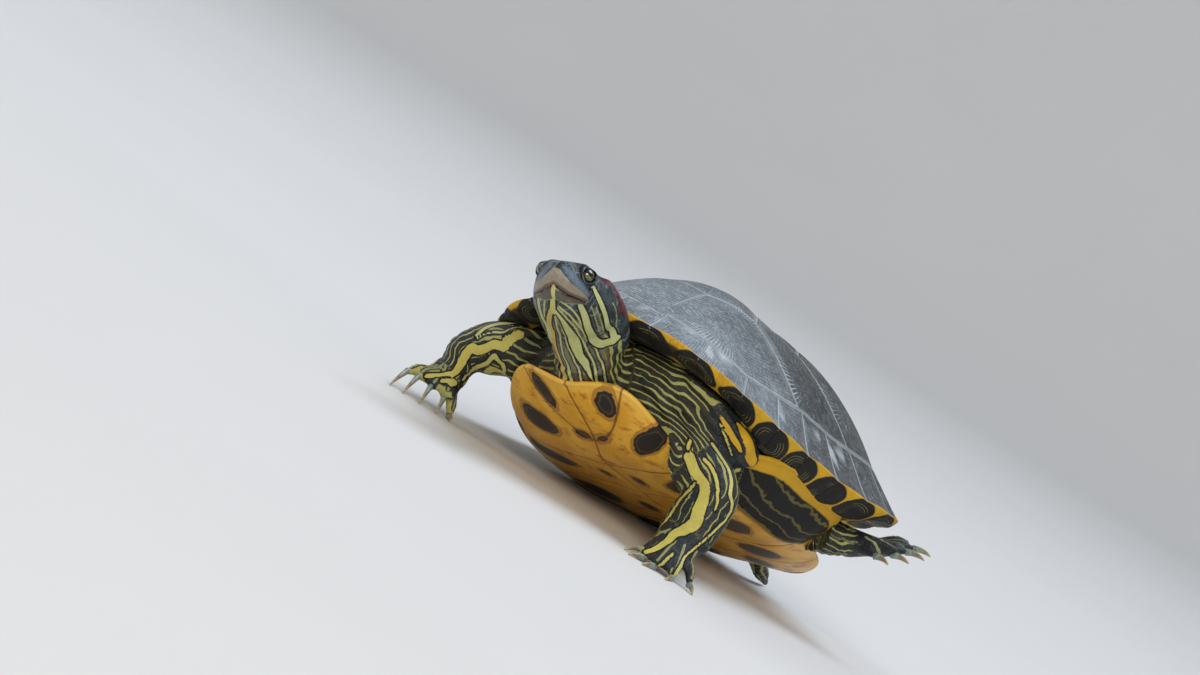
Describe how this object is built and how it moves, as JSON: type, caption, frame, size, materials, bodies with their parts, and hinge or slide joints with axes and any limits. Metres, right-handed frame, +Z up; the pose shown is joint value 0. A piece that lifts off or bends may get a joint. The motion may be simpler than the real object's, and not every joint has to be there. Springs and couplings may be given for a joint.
{
  "type": "red-eared slider turtle",
  "caption": "Life-size slider turtle at rest, propped on its left foreleg, head held out and turned left, left hind foot stretched behind.",
  "frame": {"origin": "centre of the footprint, on the floor under the turtle", "axes": "+Z up from the floor; the turtle faces -Y; +X is its left side"},
  "size_m": [0.2036, 0.2838, 0.11],
  "materials": {
    "carapace": "dry weathered horn, dull",
    "plastron": "smooth horn, soft gloss",
    "skin": "scaled skin, slightly damp",
    "beak": "worn horn",
    "eye": "wet gloss",
    "claw": "horn, soft gloss"
  },
  "bodies": {
    "root": {"carapace": "carapace", "plastron": "plastron", "trunk": "skin", "neck": "skin", "head": "skin", "lower_jaw": "skin", "tail": "skin", "eye_left": "eye", "eye_right": "eye", "foreleg_left": "skin", "foreleg_right": "skin", "hindleg_left": "skin", "hindleg_right": "skin", "forefoot_left": "skin", "forefoot_right": "skin", "hindfoot_left": "skin", "hindfoot_right": "skin", "foreclaw_left_1": "claw", "foreclaw_left_2": "claw", "foreclaw_left_3": "claw", "foreclaw_left_4": "claw", "foreclaw_left_5": "claw", "foreclaw_right_1": "claw", "foreclaw_right_2": "claw", "foreclaw_right_3": "claw", "foreclaw_right_4": "claw", "foreclaw_right_5": "claw", "hindclaw_left_1": "claw", "hindclaw_left_2": "claw", "hindclaw_left_3": "claw", "hindclaw_left_4": "claw", "hindclaw_right_1": "claw", "hindclaw_right_2": "claw", "hindclaw_right_3": "claw", "hindclaw_right_4": "claw"}
  },
  "joints": []
}
